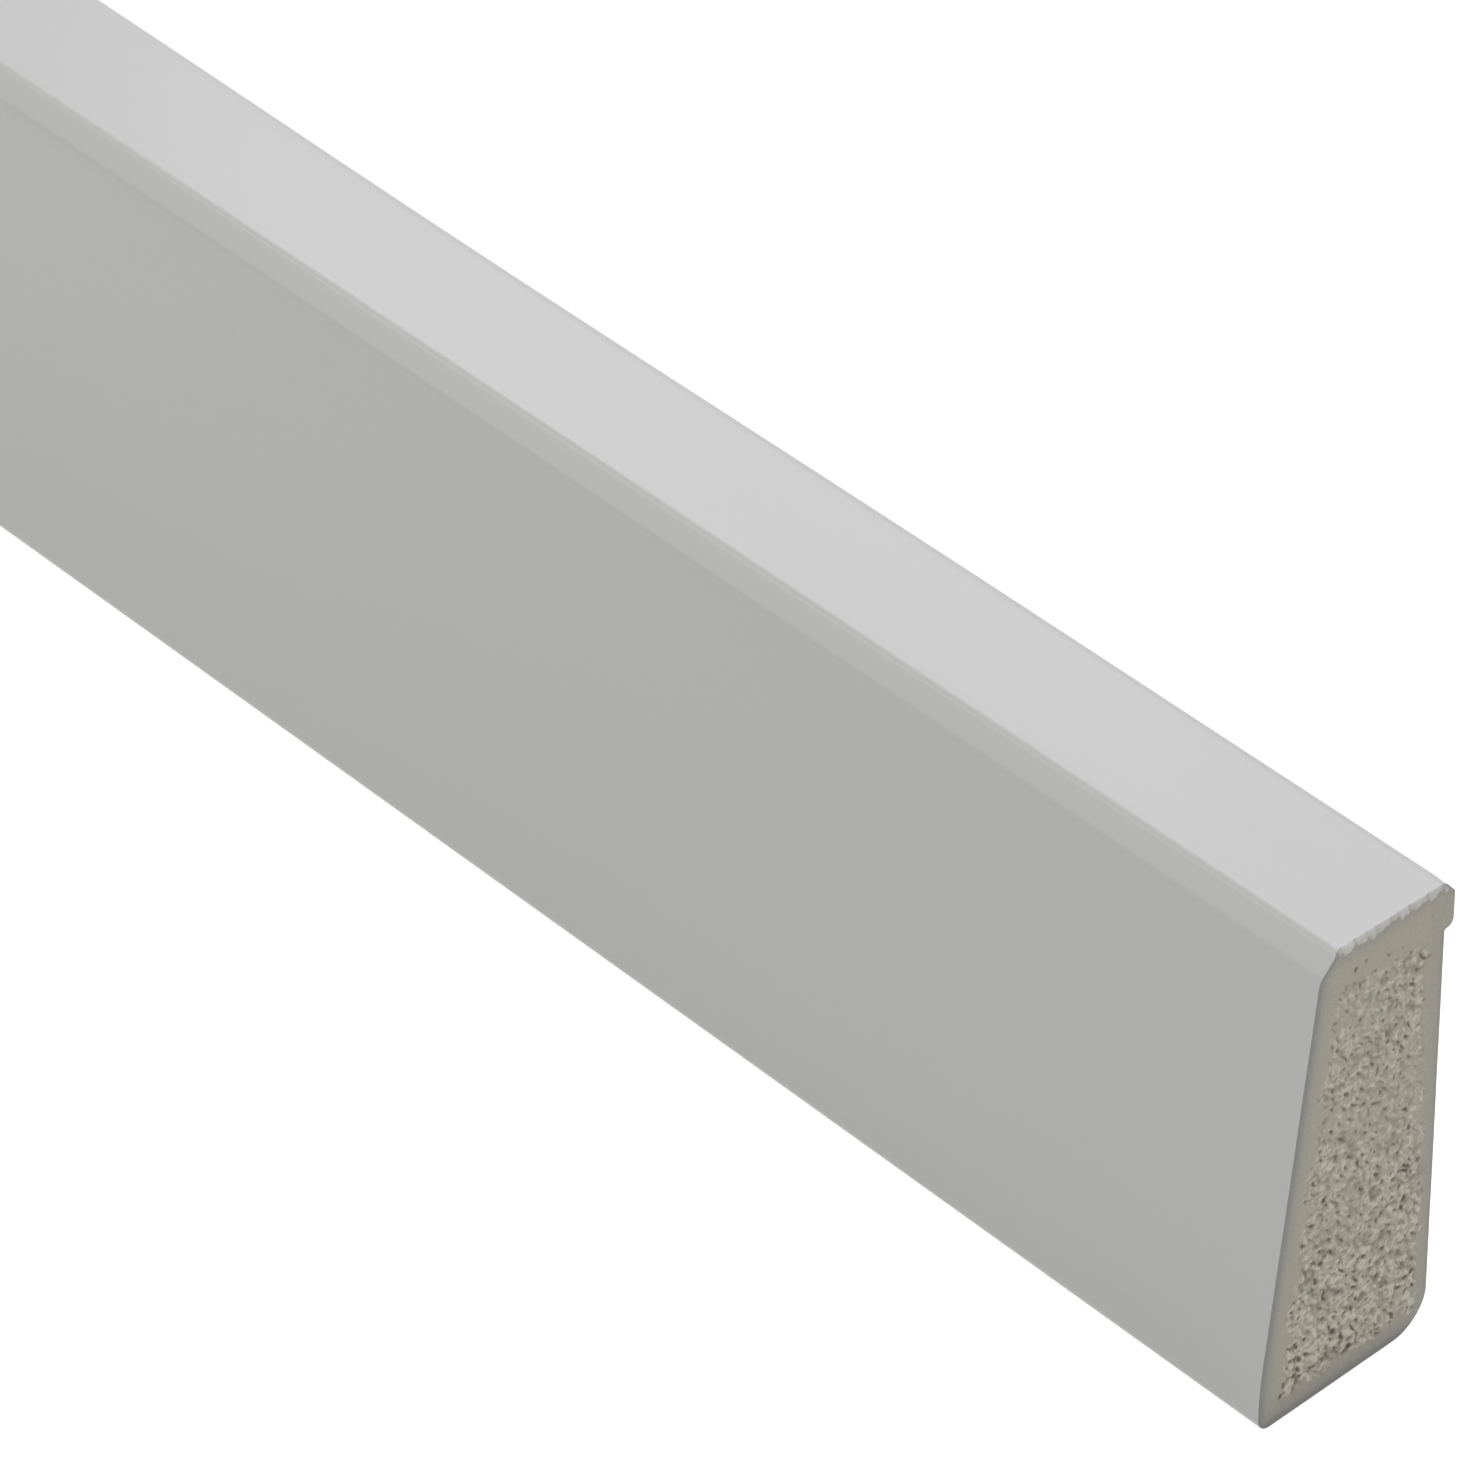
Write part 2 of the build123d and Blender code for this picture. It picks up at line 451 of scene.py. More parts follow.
def foam_cells(y, z, pitch, radius, random):
    """Cut foam cells over the points (y, z): how deep each point lies in a cell.

    Most squares of the lattice hold a bubble with its own place, size, stretch, turn and strength. With q
    the distance from its middle in its own stretched radii, the depth inside it is strength times 1 - q^2
    to the bowl's power. Each point keeps the largest over nine squares."""
    draws = random.random((CELL_SIDE, CELL_SIDE, CELL_DRAWS))
    i, j = np.floor(y / pitch).astype(int), np.floor(z / pitch).astype(int)
    depth = np.zeros_like(y)
    for di in (-1, 0, 1):
        for dj in (-1, 0, 1):
            d = np.moveaxis(draws[(i + di) % CELL_SIDE, (j + dj) % CELL_SIDE], -1, 0)
            a = y - (i + di + between(*CELL_MIDDLE, d[0])) * pitch
            b = z - (j + dj + between(*CELL_MIDDLE, d[1])) * pitch
            size = radius * between(*CELL_SIZE, d[2] ** CELL_SIZE_POWER)
            stretch = between(*CELL_STRETCH, d[3] ** CELL_STRETCH_POWER)
            turn = math.pi * d[4]
            p = (a * np.cos(turn) + b * np.sin(turn)) / (size * stretch)
            r = (b * np.cos(turn) - a * np.sin(turn)) / (size / stretch ** CELL_NARROWING)
            strength = (d[5] < CELL_PRESENCE) * between(*CELL_STRENGTH, d[6])
            depth = np.maximum(depth, strength * np.clip(1 - p * p - r * r, 0, 1) ** CELL_BOWL)
    return depth


def scallops(y, pitch, split, random):
    """Chips along an edge: how far each reaches, from 0 to 1, its painted light, up to 1, and its notch.

    A chip is a bowl 1 - q^2 about its middle, with q the distance in its own half widths, and at each
    point the largest counts. Its painted light stands in for a facet catching the light: it grows with q
    from its own painted shade, after a notch near its low end that is painted dark and takes the share
    split of its reach."""
    draws = random.random((CHIP_COUNT, CHIP_DRAWS))
    k = np.floor(y / pitch).astype(int)
    reach, shade, torn = np.zeros_like(y), np.zeros_like(y), np.zeros_like(y)
    for dk in (-1, 0, 1):
        d = np.moveaxis(draws[(k + dk) % CHIP_COUNT], -1, 0)
        middle = (k + dk + between(*CHIP_MIDDLE, d[0])) * pitch
        q = (y - middle) / (pitch * between(*CHIP_WIDTH, d[1]))
        bowl = np.clip(1 - q * q, 0, 1) * between(*CHIP_REACH, d[2])
        notch = line(q - NOTCH_PLACE, NOTCH_WIDTH)
        # painted light of a lit facet, rising from its own painted shade and darkened at its notch
        own_painted_light = CHIP_PAINTED_SHADE * d[3] + CHIP_PAINTED_LIGHTENING * (1 + q) - NOTCH_PAINTED_SHADE * notch
        shade = np.where(bowl > reach, own_painted_light, shade)
        torn = np.where(bowl > reach, notch, torn)
        reach = np.maximum(reach, bowl)
    return reach * (1 - split * torn), shade, torn


def outline_distances(y, z, profile):
    """How far the points of the cut lie inside its front, wall face, top and underside."""
    front_chain, _ = section_chains(profile)
    wall = CAD_HIGH.y - profile.lip_projection
    from_front = y - np.interp(z, front_chain[:, 1], front_chain[:, 0])
    return from_front, wall - y, CAD_HIGH.z - z, z


def chamfer_distance(y, z, profile):
    """How far the points of the cut lie inside the lip's chamfer.

    It is (inside the lip * drop + under the top * depth - drop * depth) / hypot(drop, depth)."""
    depth, drop = profile.lip_chamfer_depth, profile.lip_chamfer_drop
    inside = (CAD_HIGH.y - y) * drop + (CAD_HIGH.z - z) * depth - drop * depth
    return inside / math.hypot(drop, depth)


def foam_axes(y, z, cut, random):
    """The points (y, z) in the foam's own axes: bent by noise, turned to its stretch and shrunk along it."""
    bent_y = y + cut.warp * layered_noise(y, z, cut.warp_pitch, *BEND_LAYER, random)
    bent_z = z + cut.warp * layered_noise(y, z, cut.warp_pitch, *BEND_LAYER, random)
    cos, sin, ratio = math.cos(cut.stretch_angle), math.sin(cut.stretch_angle), math.sqrt(cut.stretch)
    return (bent_y * cos + bent_z * sin) / ratio, (bent_z * cos - bent_y * sin) * ratio


def open_foam(y, z, sides, cut, wander):
    """How open the foam is: 0 in the dense margins, and most in the lower middle.

    It opens by smoothstep with the least distance inside the four margins, which the noise wander moves."""
    from_front, from_wall, under_top, over_floor = sides
    height = z / CAD_HIGH.z
    inside = np.minimum.reduce([
        from_front - cut.front_margin,
        from_wall - cut.back_margin * (1 + smooth(*WALL_MARGIN_GROWS, height)),
        under_top - cut.top_margin - cut.top_margin_slope * y,
        over_floor - cut.bottom_margin,
    ])
    opening = smooth(*MARGIN_FADE, inside + cut.margin_wander * wander)
    return opening * between(*FOAM_OPENNESS, smooth(*FOAM_CALMS, height))


def torn_foam(foam_y, foam_z, cut, random):
    """The shallow hollows and the torn walls round them, each from 0 to 1, out of one noise.

    Hollows deepen by smoothstep as the noise falls below 0. A wall fades in line with |noise - level|."""
    finer, strength = HOLLOW_LAYER
    swell = soft_noise(foam_y, foam_z, cut.hollow_pitch, random)
    swell = swell + strength * soft_noise(foam_z, foam_y, finer * cut.hollow_pitch, random)
    ridges = np.clip(RIDGE_STRENGTH - RIDGE_FALL * np.abs(swell - RIDGE_LEVEL), 0, 1)
    return smooth(0.0, HOLLOW_DEEPEST, -swell), ridges


def broken_edge(y, z, under_top, arris_y, cut, random):
    """The broken skin along the top edge: the drop of its ragged line, how far it leans back, its painted
    light.

    With t from 0 on the ragged line to 1 at the top, it leans back by its run times t to a power."""
    # shade carries the chips' painted light and shade
    reach, shade, torn = scallops(y, cut.chip_pitch, NOTCH_SPLIT, random)
    fine_reach, fine_painted_light, _ = scallops(y, FINE_CHIP_PITCH * cut.chip_pitch, 0.0, random)
    fray = soft_noise(y, z, FRAY_PITCH, random)
    ragged = np.clip(COARSE_CHIPS * reach + FINE_CHIPS * fine_reach + FRAY * fray, 0, 1)
    drop = cut.chip_drop * between(*DROP_SHARE, ragged)
    broken = np.clip((drop - under_top) / drop, 0, 1)
    run = cut.chip_run * (RUN_MEAN + RUN_RAGGED * ragged + RUN_TORN * torn)
    run = run * (1 - RUN_LOSS * smooth(arris_y - MM, CAD_HIGH.y, y))
    # painted light and shade of the chips' facets, with painted light along the top
    light = PAINTED_LIGHT_MEAN + PAINTED_LIGHT_COARSE * shade + PAINTED_LIGHT_FINE * fine_painted_light
    light = light * between(*PAINTED_LIGHT_SHARE, smooth(0, PAINTED_LIGHT_RAGGED, ragged)) + line(under_top, *PAINTED_TOP_LIGHT)
    return drop, run * broken ** RUN_POWER, smooth(0.0, SKIN_FADE, broken) * np.maximum(light, 0)


def stray_room(z, sides, openness):
    """Where stray cells lie, from 0 to 1: in the closed foam under the top, away from the edges."""
    from_front, from_wall, under_top, _ = sides
    room = (1 - np.clip(openness, 0, 1)) * smooth(*STRAY_UNDER_TOP, under_top)
    room = room * smooth(*STRAY_FROM_WALL, from_wall) * smooth(*STRAY_FROM_FRONT, from_front)
    return room * smooth(*STRAY_HEIGHT, z / CAD_HIGH.z)


def sawn_face(grid, profile, cut, seed):
    """How far each grid point of a sawn face lies behind the saw's plane, with what its colour needs, painted
    light and shade among it.

    The depth is the sum of long waves, the deep cells with a few strays in the margin under the top, the
    shallow hollows less the torn walls round them, and the broken skin, which slopes back from a scalloped
    line below the top edge."""
    random = np.random.default_rng(seed)
    y, z = grid[..., 0], grid[..., 1]
    sides = outline_distances(y, z, profile)
    from_front, from_wall, under_top, over_floor = sides
    arris_y, arris_z, _ = section_corners(profile)[ARRIS]

    wander = soft_noise(y, z, WANDER_PITCH, random)
    foam_y, foam_z = foam_axes(y, z, cut, random)
    calm = soft_noise(y, z, cut.calm_pitch, random)
    openness = open_foam(y, z, sides, cut, wander) * (1 + CALM_CHANGE * calm)
    cells = foam_cells(foam_y, foam_z, cut.cell_pitch, cut.cell_radius, random) * openness
    hollows, ridges = torn_foam(foam_y, foam_z, cut, random)
    hollows = hollows * openness
    ridges = ridges * openness * (1 - cells)
    waves = layered_noise(y, z, SAW_PITCH, *SAW_LAYER, random)
    tint = soft_noise(y, z, TINT_PITCH, random) * between(*TINT_STRENGTH, openness)
    drop, lean_back, skin = broken_edge(y, z, under_top, arris_y, cut, random)
    strays = foam_cells(foam_y, foam_z, STRAY_PITCH, STRAY_RADIUS, random) * stray_room(z, sides, openness)
    cells = np.maximum(cells, STRAY_STRENGTH * strays)

    depth = cut.unevenness * (SAW_MEAN + SAW_SWING * waves) + cut.cell_depth * cells
    depth = depth + cut.hollow_depth * hollows + cut.ridge_height * (openness - ridges) + lean_back

    arris_notch = line(np.hypot(y - arris_y, z - arris_z + ARRIS_NOTCH_DROP), ARRIS_NOTCH_WIDTH)
    # painted shade along the lip's chamfer
    chamfer_painted_shade = line(chamfer_distance(y, z, profile), CHAMFER_SHADE_WIDTH)
    # dark lines of skin seen in section, with painted shade near the underside, under the chips and along the
    # chamfer
    rim = np.maximum.reduce([
        line(from_front, *FRONT_LINE),
        line(from_wall, *WALL_LINE) * (under_top > profile.lip_height),
        line(over_floor, *FLOOR_LINE),
        line(over_floor, *FLOOR_SHADE),
        line(under_top - drop, *CHIP_LINE_AND_SHADOW),
        CHAMFER_SHADE_STRENGTH * chamfer_painted_shade,
        arris_notch,
    ])
    edge = np.minimum.reduce([from_front, np.abs(from_wall), under_top, over_floor])
    # cell and wall carry painted shade in the cells and painted light on the torn walls
    return {
        "depth": np.maximum(depth, 0),
        "cell": np.maximum(cells, HOLLOW_SHADE * hollows),
        "wall": ridges,
        "rim": rim,
        "dense": 1 - smooth(*DENSE_FADE, edge),
        "tint": tint,
        "broken_skin_and_facet_light": skin * (1 - ARRIS_NOTCH_LOSS * arris_notch) * (1 - chamfer_painted_shade),
    }


def section_grid(profile, cut):
    """The section as a grid of (y, z) points.

    Row v joins the points at share v of the front and back chains by a straight line, and column u lies
    at share u of it, so the grid's border is the whole outline."""
    front_chain, back_chain = section_chains(profile)
    top, wide = CAD_HIGH.z, CAD_HIGH.y - CAD_LOW.y
    pitch, top_pitch, front_pitch = cut.grid_pitch, cut.top_grid_pitch, FRONT_PITCH * cut.grid_pitch
    heights = [0.0, *(share * top for share in FINE_ROWS), top]
    rows = graded_levels(heights, [pitch, pitch, top_pitch, top_pitch]) / top
    across = MEAN_DEPTH * wide
    places = [0.0, *(share * wide for share in FINE_COLUMNS), across]
    columns = graded_levels(places, [front_pitch, front_pitch, pitch, pitch]) / across
    front, back = points_along(front_chain, rows)[:, None], points_along(back_chain, rows)[:, None]
    u = columns[None, :, None]
    return front * (1 - u) + back * u


def border(rows, columns):
    """Indices of a row-major grid's border, anticlockwise as seen from +X, from the first corner."""
    index = np.arange(rows * columns).reshape(rows, columns)
    return np.concatenate([index[0, :-1], index[:-1, -1], index[-1, :0:-1], index[:0:-1, 0]])


def grid_quads(rows, columns, facing):
    """The faces of a row-major grid, anticlockwise as seen from +X, or turned round when facing is -1."""
    index = np.arange(rows * columns).reshape(rows, columns)
    quads = np.stack([index[:-1, :-1], index[:-1, 1:], index[1:, 1:], index[1:, :-1]], -1).reshape(-1, 4)
    return quads[:, ::facing]


def kept_points(outline, largest_turn, largest_step):
    """Which of a closed outline's points a coarser ring keeps.

    It keeps one each time that the running sum of turn / largest turn + step / largest step passes a
    whole number."""
    ahead = np.roll(outline, -1, 0) - outline
    step = np.linalg.norm(ahead, axis=1)
    heading = np.arctan2(ahead[:, 1], ahead[:, 0])
    turn = np.abs((heading - np.roll(heading, 1) + math.pi) % (2 * math.pi) - math.pi)
    passed = np.cumsum(turn / largest_turn + step / largest_step)
    return np.flatnonzero(np.diff(np.floor(passed), prepend=-1) > 0)


def ring_quads(near, far):
    """Quads between two closed rings of point indices, near at the larger X."""
    return np.stack([near, far, np.roll(far, -1), np.roll(near, -1)], 1)


def zip_rings(fine, coarse, kept, fine_is_near):
    """Triangles between a ring and the coarser ring of its kept points.

    Each step of the fine ring closes on the nearer of the two kept points about it, and each step of the
    coarse ring on the fine point midway."""
    steps = np.arange(len(fine))
    before = np.searchsorted(kept, steps, side="right") - 1
    middle = (kept + np.append(kept[1:], len(fine))) // 2
    owner = coarse[(before + (steps >= middle[before])) % len(coarse)]
    fine_ahead, coarse_ahead = np.roll(fine, -1), np.roll(coarse, -1)
    if fine_is_near:
        return [np.stack([fine, owner, fine_ahead], 1), np.stack([fine[middle], coarse, coarse_ahead], 1)]
    return [np.stack([owner, fine, fine_ahead], 1), np.stack([coarse, fine[middle], coarse_ahead], 1)]


def wavy_rings(profile, x, outline):
    """The outline at each station x. The lip's top corner wanders by the sum of two cosine waves.

    The shift fades to nothing down the chamfer, along the top and at both ends."""
    from_end = CAD_HIGH.x - x
    long = np.cos(2 * math.pi * (from_end / profile.long_wave_pitch - LONG_CREST))
    short = np.cos(2 * math.pi * (from_end / profile.short_wave_pitch - SHORT_CREST))
    shift = profile.long_wave * (LONG_MEAN + long) + profile.short_wave * short
    shift = shift * smooth(0, END_FADE, from_end) * smooth(0, END_FADE, x - CAD_LOW.x)
    down_chamfer = (outline[:, 1] - (CAD_HIGH.z - profile.lip_chamfer_drop)) / profile.lip_chamfer_drop
    corner = CAD_HIGH.y - profile.lip_chamfer_depth
    weight = np.clip(down_chamfer, 0, 1) * smooth(*TOP_FADE, outline[:, 0] / corner)
    rings = np.repeat(outline[None], len(x), 0)
    rings[..., 0] += shift[:, None] * weight[None]
    return rings


def board_surface(profile, cut):
    """The whole closed board: vertices, faces, each face's material, point attributes and the two rims.

    Its points come in order of X: the right sawn face, the rings of the skin and the left sawn face."""
    grid = section_grid(profile, cut)
    rows, columns = grid.shape[:2]
    rim = border(rows, columns)
    flat = grid.reshape(-1, 2)
    outline = flat[rim]
    kept = kept_points(outline, RING_TURN, RING_STEP)
    half = CAD_HIGH.x
    from_end = graded_levels([SKIN_START + FIRST_STEP, *STATION_PLACES, half], STATION_STEPS)
    stations = np.concatenate([half - from_end, (from_end - half)[-2::-1]])

    right = sawn_face(grid, profile, cut, cut.right_seed)
    left = sawn_face(grid, profile, cut, cut.left_seed)
    parts = [np.column_stack([half - right["depth"].ravel(), flat])]
    parts.append(np.column_stack([np.full(len(outline), half - SKIN_START), outline]))
    for x, ring in zip(stations, wavy_rings(profile, stations, outline[kept])):
        parts.append(np.column_stack([np.full(len(ring), x), ring]))
    parts.append(np.column_stack([np.full(len(outline), SKIN_START - half), outline]))
    parts.append(np.column_stack([left["depth"].ravel() - half, flat]))

    starts = np.concatenate([[0], np.cumsum([len(part) for part in parts])])
    rings = [start + np.arange(len(part)) for start, part in zip(starts[1:-2], parts[1:-1])]
    left_rim = starts[-2] + rim
    skin = [ring_quads(rim, rings[0]), *zip_rings(rings[0], rings[1], kept, True)]
    skin += [ring_quads(near, far) for near, far in zip(rings[1:-2], rings[2:-1])]
    skin += [*zip_rings(rings[-1], rings[-2], kept, False), ring_quads(rings[-1], left_rim)]
    cuts = [grid_quads(rows, columns, 1), starts[-2] + grid_quads(rows, columns, -1)]
    material = np.repeat([0, 1], [sum(map(len, skin)), sum(map(len, cuts))])

    middle = np.zeros(starts[-2] - starts[1])
    names = [name for name in right if name != "depth"]
    attributes = {n: np.concatenate([right[n].ravel(), middle, left[n].ravel()]) for n in names}
    return np.concatenate(parts), [*skin, *cuts], material, attributes, (rim, left_rim)


def fill_mesh(name, vertices, faces, material, attributes, sharp_rings):
    """A mesh from arrays of quads and triangles. Edges that run along the sharp rings stay sharp."""
    mesh = bpy.data.meshes.new(name)
    sizes = np.concatenate([np.full(len(f), f.shape[1]) for f in faces])
    corners = np.concatenate([f.ravel() for f in faces])
    mesh.vertices.add(len(vertices))
    mesh.loops.add(len(corners))
    mesh.polygons.add(len(sizes))
    mesh.vertices.foreach_set("co", vertices.astype(np.float32).ravel())
    mesh.loops.foreach_set("vertex_index", corners.astype(np.int32))
    starts = np.concatenate([[0], np.cumsum(sizes)[:-1]])
    mesh.polygons.foreach_set("loop_start", starts.astype(np.int32))
    mesh.polygons.foreach_set("material_index", material.astype(np.int32))
    mesh.polygons.foreach_set("use_smooth", np.ones(len(sizes), bool))
    mesh.update(calc_edges=True)
    for key, values in attributes.items():
        mesh.attributes.new(key, "FLOAT", "POINT").data.foreach_set("value", values.astype(np.float32))
    place = np.full(len(vertices), -1)
    for ring in sharp_rings:
        place[ring] = np.arange(len(ring))
    ends = np.zeros(len(mesh.edges) * 2, np.int32)
    mesh.edges.foreach_get("vertices", ends)
    a, b = place[ends.reshape(-1, 2)].T
    step = np.abs(a - b)
    ring_length = len(sharp_rings[0])
    sharp = (a >= 0) & (b >= 0) & ((step == 1) | (step == ring_length - 1))
    mesh.edges.foreach_set("use_edge_sharp", sharp)
    if mesh.validate():
        raise RuntimeError(f"{name}: the mesh had faults")
    return mesh


def empty_tree(owner):
    """The emptied node tree of a material or world."""
    owner.use_nodes = True
    owner.node_tree.nodes.clear()
    return owner.node_tree


def add_node(tree, kind, inputs=None, **settings):
    """A shader node with its settings, and each input set to a value or linked to a socket."""
    node = tree.nodes.new(kind)
    for key, value in settings.items():
        setattr(node, key, value)
    for key, value in (inputs or {}).items():
        if isinstance(value, bpy.types.NodeSocket):
            tree.links.new(value, node.inputs[key])
        else:
            node.inputs[key].default_value = value
    return node


def blend(tree, factor, low, high):
    """A colour that goes from low to high with the factor. Sockets and plain colours both do."""
    low, high = [(*c, 1.0) if not isinstance(c, bpy.types.NodeSocket) else c for c in (low, high)]
    node = add_node(tree, "ShaderNodeMix", {0: factor, 6: low, 7: high}, data_type="RGBA")
    return node.outputs[2]


def spread(tree, value, source, target=(0.0, 1.0)):
    """A value mapped by smoothstep from the source range to the target range and held at its ends."""
    inputs = {0: value, 1: source[0], 2: source[1], 3: target[0], 4: target[1]}
    node = add_node(tree, "ShaderNodeMapRange", inputs, interpolation_type="SMOOTHSTEP")
    return node.outputs[0]


def noise(tree, place, scale, detail=2.0, stretch=(1, 1, 1)):
    """Noise over the object's own coordinates, each of them first multiplied by its stretch."""
    mapped = add_node(tree, "ShaderNodeMapping", {"Vector": place, "Scale": stretch}).outputs[0]
    inputs = {"Vector": mapped, "Scale": scale, "Detail": detail}
    return add_node(tree, "ShaderNodeTexNoise", inputs).outputs[0]


def bump(tree, strength, distance, height, **inputs):
    """A normal tilted by the slope of the height."""
    inputs = {"Strength": strength, "Distance": distance, "Height": height, **inputs}
    return add_node(tree, "ShaderNodeBump", inputs).outputs[0]


def surface_material(name, roughness, specular):
    """A material with a Principled shader, its tree and the object's own coordinates."""
    material = bpy.data.materials.new(name)
    tree = empty_tree(material)
    inputs = {"Roughness": roughness, "Specular IOR Level": specular}
    shader = add_node(tree, "ShaderNodeBsdfPrincipled", inputs)
    add_node(tree, "ShaderNodeOutputMaterial", {"Surface": shader.outputs[0]})
    place = add_node(tree, "ShaderNodeTexCoord").outputs["Object"]
    return material, tree, shader, place


def skin_material(finish):
    """Satin moulded skin: hardly visible lines along the board, orange peel and slightly varying gloss."""
    mean, stray = finish.skin_roughness, finish.gloss_change
    material, tree, shader, place = surface_material("moulded_skin", mean, finish.skin_specular)
    lines = noise(tree, place, finish.line_scale, stretch=LINE_STRETCH)
    patches = noise(tree, place, finish.patch_scale, stretch=PATCH_STRETCH)
    peel = noise(tree, place, finish.peel_scale)
    tone = blend(tree, spread(tree, patches, PATCH_TONE), finish.skin, finish.skin_patch)
    tree.links.new(tone, shader.inputs["Base Color"])
    rough = spread(tree, patches, PATCH_GLOSS, (mean - stray, mean + stray))
    tree.links.new(rough, shader.inputs["Roughness"])
    peeled = bump(tree, finish.skin_bump, finish.skin_bump_depth, peel)
    lined = bump(tree, finish.skin_bump, finish.skin_bump_depth, lines, Normal=peeled)
    tree.links.new(lined, shader.inputs["Normal"])
    return material


def core_material(finish):
    """Sawn foam: beige between dark cells with pale torn walls, denser and greyer to the outline; the cells'
    dark is partly painted shade, the walls' pale and the broken skin's light painted light.
    """
    roughness, specular = finish.core_roughness, finish.core_specular
    material, tree, shader, place = surface_material("sawn_foam", roughness, specular)
    cell, wall, rim, dense, tint, broken = (
        add_node(tree, "ShaderNodeAttribute", attribute_name=name).outputs["Fac"]
        for name in ("cell", "wall", "rim", "dense", "tint", "broken_skin_and_facet_light")
    )
    grain = noise(tree, place, finish.grain_scale, GRAIN_DETAIL)
    foam = blend(tree, spread(tree, tint, TINT_BLEND), finish.core, finish.core_tint)
    outer = blend(tree, dense, foam, finish.dense)
    # rim lines of skin seen in section, with painted shade among them
    rimmed = blend(tree, rim, outer, finish.edge_line_and_shade)
    # torn walls made paler as painted light
    walled = blend(tree, spread(tree, wall, WALL_BLEND), rimmed, finish.cell_wall_and_highlight)
    # cells darker, partly as painted shade
    pitted = blend(tree, spread(tree, cell, CELL_BLEND), walled, finish.cell_inside_and_shade)
    speckled = blend(tree, spread(tree, grain, GRAIN_BLEND, (0.0, GRAIN_SHADE)), pitted, finish.grain)
    # broken skin with the painted light and shade of its facets
    skinned = blend(tree, broken, speckled, finish.broken_skin_and_facet_light)
    tree.links.new(skinned, shader.inputs["Base Color"])
    grained = bump(tree, finish.core_bump, finish.core_bump_depth, grain)
    tree.links.new(grained, shader.inputs["Normal"])
    return material


class SKIRTING_OT_make_board(bpy.types.Operator):
    """Make the length of skirting board with its moulded skin and sawn ends"""

    bl_idname = "skirting.make_board"
    bl_label = "Make skirting board"

    def execute(self, context):
        scene = context.scene
        surface = board_surface(scene.skirting_profile, scene.skirting_sawn_end)
        mesh = fill_mesh("skirting_board_surface", *surface)
        mesh.materials.append(skin_material(scene.skirting_finish))
        mesh.materials.append(core_material(scene.skirting_finish))
        board = bpy.data.objects.new("foamed_skirting_board", mesh)
        scene.collection.objects.link(board)
        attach(board, BODY)
        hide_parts(NODE)
        return {"FINISHED"}


def area_light(name, place, size, watts, tint, long_side=(1, 0, 0)):
    """Adds a soft rectangular light that faces the target, its long side as near the given way as it goes."""
    data = bpy.data.lights.new(name, "AREA")
    data.shape = "RECTANGLE"
    data.size, data.size_y = size
    data.energy = watts
    data.color = tint
    light = bpy.data.objects.new(name, data)
    bpy.context.scene.collection.objects.link(light)
    back = (Vector(place) - Vector(LIGHT_TARGET)).normalized()
    side = Vector(long_side)
    side = (side - back * side.dot(back)).normalized()
    light.location = place
    light.rotation_euler = Matrix((side, back.cross(side), back)).transposed().to_euler()
    light.visible_camera = False


def seen_or_mirrored(tree):
    """1 for rays from the camera and for those mirrored by or passing through a surface, else 0."""
    path = add_node(tree, "ShaderNodeLightPath")
    ray = path.outputs["Is Camera Ray"]
    for kind in ("Is Glossy Ray", "Is Transmission Ray"):
        larger = add_node(tree, "ShaderNodeMath", {0: ray, 1: path.outputs[kind]}, operation="MAXIMUM")
        ray = larger.outputs[0]
    return ray


def floor_material(studio):
    """A pale floor. It is seen and mirrored lifted to white, with the board's shadow left on it."""
    material = bpy.data.materials.new("studio_floor")
    tree = empty_tree(material)
    diffuse = add_node(tree, "ShaderNodeBsdfDiffuse", {"Color": (*studio.floor, 1.0)}).outputs[0]
    glow = add_node(tree, "ShaderNodeEmission", {"Strength": studio.floor_glow}).outputs[0]
    lifted = add_node(tree, "ShaderNodeAddShader", {0: diffuse, 1: glow}).outputs[0]
    choice = add_node(tree, "ShaderNodeMixShader", {0: seen_or_mirrored(tree), 1: diffuse, 2: lifted})
    add_node(tree, "ShaderNodeOutputMaterial", {"Surface": choice.outputs[0]})
    return material


def studio_world(studio):
    """Even light from all round, which is seen and mirrored as plain white."""
    world = bpy.data.worlds.new("studio_world")
    tree = empty_tree(world)
    strength = add_node(tree, "ShaderNodeMapRange", {0: seen_or_mirrored(tree), 3: studio.sky, 4: 1.0})
    inputs = {"Color": (1, 1, 1, 1), "Strength": strength.outputs[0]}
    background = add_node(tree, "ShaderNodeBackground", inputs)
    add_node(tree, "ShaderNodeOutputWorld", {"Surface": background.outputs[0]})
    return world


def studio_floor(studio):
    """A square floor far wider than the picture."""
    mesh = bpy.data.meshes.new("studio_floor")
    corners = [(x * FLOOR_REACH, y * FLOOR_REACH, 0) for x, y in ((-1, -1), (1, -1), (1, 1), (-1, 1))]
    mesh.from_pydata(corners, [], [(0, 1, 2, 3)])
    mesh.materials.append(floor_material(studio))
    return bpy.data.objects.new("studio_floor", mesh)


